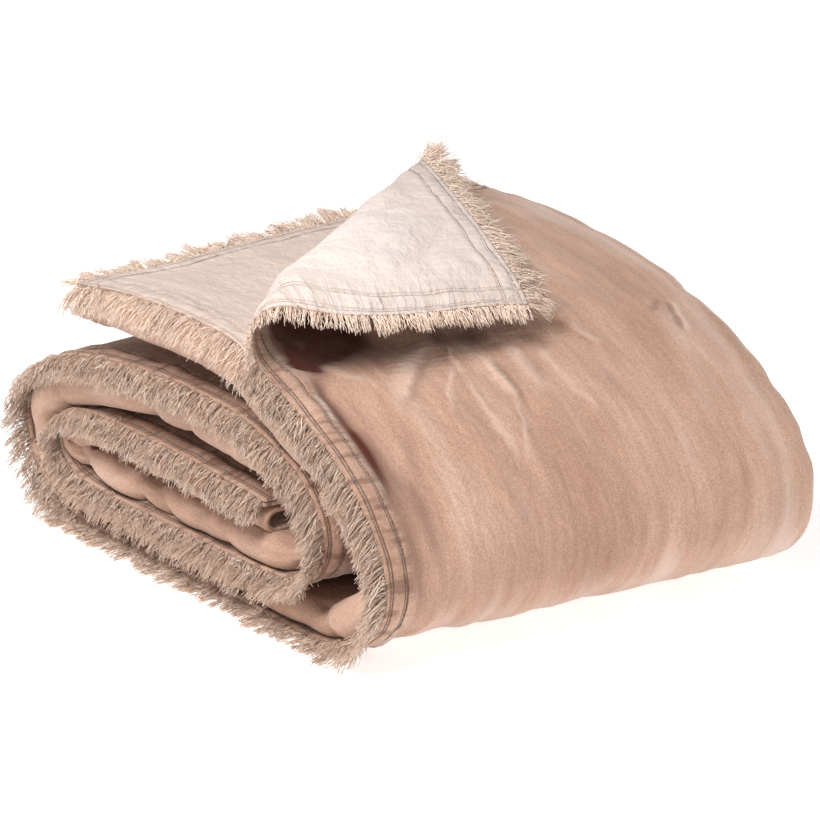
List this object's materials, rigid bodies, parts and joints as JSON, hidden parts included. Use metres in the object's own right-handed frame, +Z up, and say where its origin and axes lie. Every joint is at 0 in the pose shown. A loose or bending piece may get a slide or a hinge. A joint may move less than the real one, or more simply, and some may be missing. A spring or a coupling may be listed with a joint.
{
  "type": "folded velvet comforter",
  "caption": "Thin filled velvet comforter with a frayed fringe, folded in four and rolled flat, its outer corner turned back to show the pale cotton reverse.",
  "frame": {"origin": "under the middle of the whole bundle's box, on the surface it rests on", "axes": "+X along the roll, from its open fringed edges to its folded end; +Y across the roll, towards the flap's end; +Z up"},
  "size_m": [0.5634, 0.5962, 0.3173],
  "materials": {
    "velvet": "cotton velvet with a short soft pile",
    "thread": "frayed matt cotton thread"
  },
  "bodies": {
    "root": {"comforter": "velvet", "fringe_outer_long_edge": "thread", "fringe_inner_long_edge": "thread", "fringe_end_edge": "thread"}
  },
  "joints": []
}
